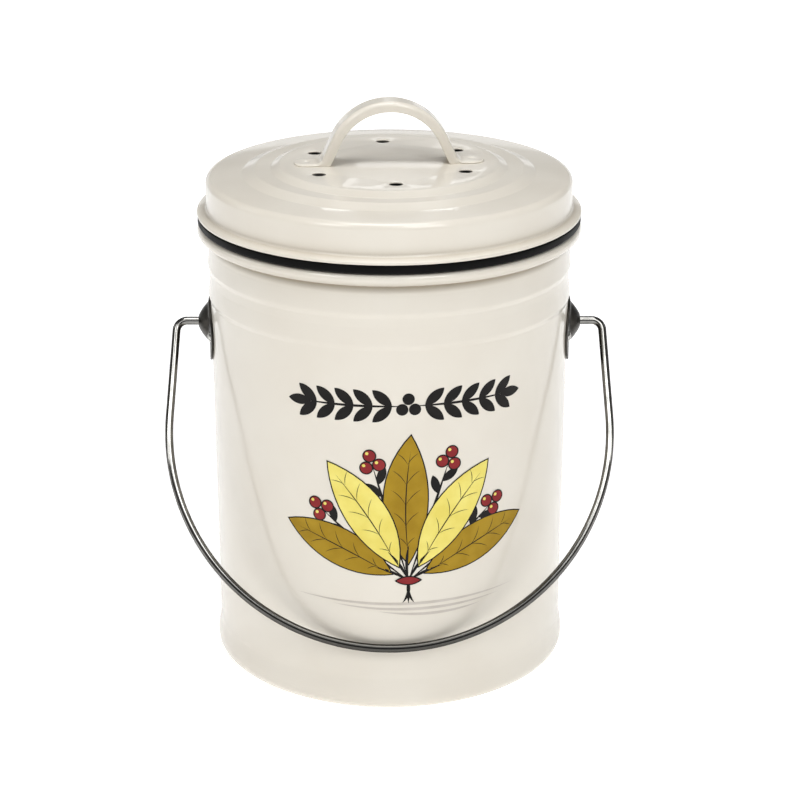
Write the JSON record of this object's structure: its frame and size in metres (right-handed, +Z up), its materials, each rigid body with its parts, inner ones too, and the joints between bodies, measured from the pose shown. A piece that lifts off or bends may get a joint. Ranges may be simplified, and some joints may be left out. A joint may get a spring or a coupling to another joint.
{
  "type": "compost bin",
  "caption": "Round cream steel bin for kitchen scraps, with a wire bail, a vented lift-off lid with an arched handle, a black seal and an odour filter.",
  "frame": {"origin": "on the floor at the middle of the foot", "axes": "+Z up, the bail's pivots along X, the bail at rest against the front at -Y"},
  "size_m": [0.1992, 0.1692, 0.255],
  "materials": {
    "cream_enamel": "glossy cream coating",
    "bail_wire": "polished dark steel wire",
    "ear_steel": "dark pressed steel",
    "rivet_steel": "plain steel",
    "clip_steel": "bright spring steel",
    "seal_rubber": "satin black",
    "carbon_foam": "matte black fibre pad"
  },
  "bodies": {
    "pail": {"body_wall": "cream_enamel", "base_pan": "cream_enamel", "left_ear": "ear_steel", "right_ear": "ear_steel", "left_ear_rivets": "rivet_steel", "right_ear_rivets": "rivet_steel"},
    "bail": {"bail": "bail_wire"},
    "lid": {"lid_shell": "cream_enamel", "lid_handle": "cream_enamel", "gasket": "seal_rubber", "charcoal_filter": "carbon_foam", "filter_clip_1": "clip_steel", "filter_clip_2": "clip_steel", "filter_clip_3": "clip_steel"}
  },
  "joints": [
    {"name": "bail_swing", "type": "hinge", "parent": "pail", "child": "bail", "pos_m": [0, 0, 0.1538], "axis": [-1, 0, 0], "range_deg": [0, 293.4]},
    {"name": "lid_lift", "type": "slide", "parent": "pail", "child": "lid", "axis": [0, 0, 1], "range_m": [0, 0.15]}
  ]
}
